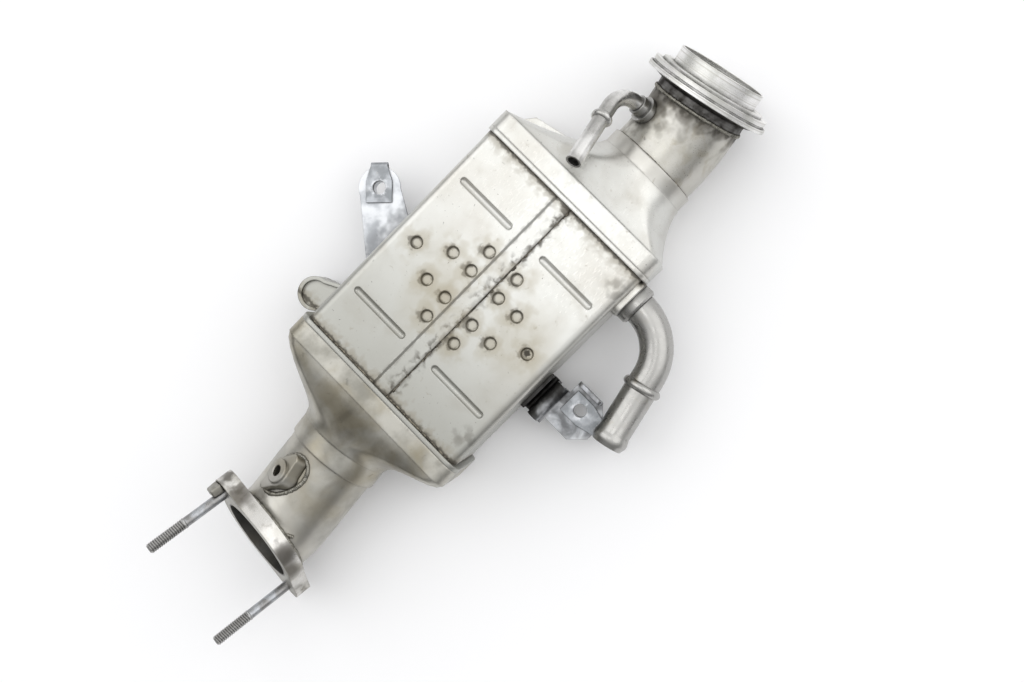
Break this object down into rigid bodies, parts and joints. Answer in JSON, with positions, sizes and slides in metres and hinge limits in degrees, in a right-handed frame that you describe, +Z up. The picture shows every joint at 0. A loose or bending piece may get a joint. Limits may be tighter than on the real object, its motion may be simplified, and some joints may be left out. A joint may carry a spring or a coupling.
{
  "type": "egr cooler",
  "caption": "Brazed stainless exhaust gas cooler: finned flat gas tubes in a dimpled box shell, with a stud flange, a clamp-band flange, coolant hose ports and side brackets.",
  "frame": {"origin": "middle of the stud flange's sealing face, on the axis of its bore", "axes": "+X along the shell from the stud flange to the clamp flange, +Z up out of the flat face seen in the picture, +Y to the side of the coolant outlet pan"},
  "size_m": [0.4029, 0.2028, 0.087],
  "materials": {
    "stainless_sheet": "satin, lightly stained stainless sheet",
    "core_steel": "dull brazed stainless",
    "sooted_steel": "heat-dulled stainless",
    "tinted_steel": "stainless with heat tint and soot at the welds",
    "machined_steel": "turned steel",
    "pipe_steel": "drawn stainless pipe",
    "zinc_steel": "zinc-plated sheet",
    "stud_steel": "dark plated steel"
  },
  "bodies": {
    "root": {"left_half_shell": "stainless_sheet", "right_half_shell": "stainless_sheet", "inlet_header_plate": "stainless_sheet", "outlet_header_plate": "stainless_sheet", "gas_tube_1": "core_steel", "gas_tube_2": "core_steel", "gas_tube_3": "core_steel", "gas_tube_4": "core_steel", "gas_tube_5": "core_steel", "gas_tube_6": "core_steel", "gas_fin_1": "core_steel", "gas_fin_2": "core_steel", "gas_fin_3": "core_steel", "gas_fin_4": "core_steel", "gas_fin_5": "core_steel", "gas_fin_6": "core_steel", "inlet_diffuser": "stainless_sheet", "inlet_neck_pipe": "tinted_steel", "clamp_flange": "machined_steel", "outlet_diffuser": "sooted_steel", "outlet_elbow": "sooted_steel", "stud_flange": "machined_steel", "flange_studs": "stud_steel", "sensor_boss": "sooted_steel", "coolant_inlet_pipe": "pipe_steel", "coolant_inlet_collar": "pipe_steel", "coolant_outlet_pan": "stainless_sheet", "coolant_outlet_pipe": "pipe_steel", "pressure_pipe": "pipe_steel", "pressure_pipe_collar": "pipe_steel", "left_bracket": "zinc_steel", "left_clip_nut": "zinc_steel", "right_bracket": "zinc_steel", "right_clip_nut": "zinc_steel", "rear_bracket": "stainless_sheet"}
  },
  "joints": []
}
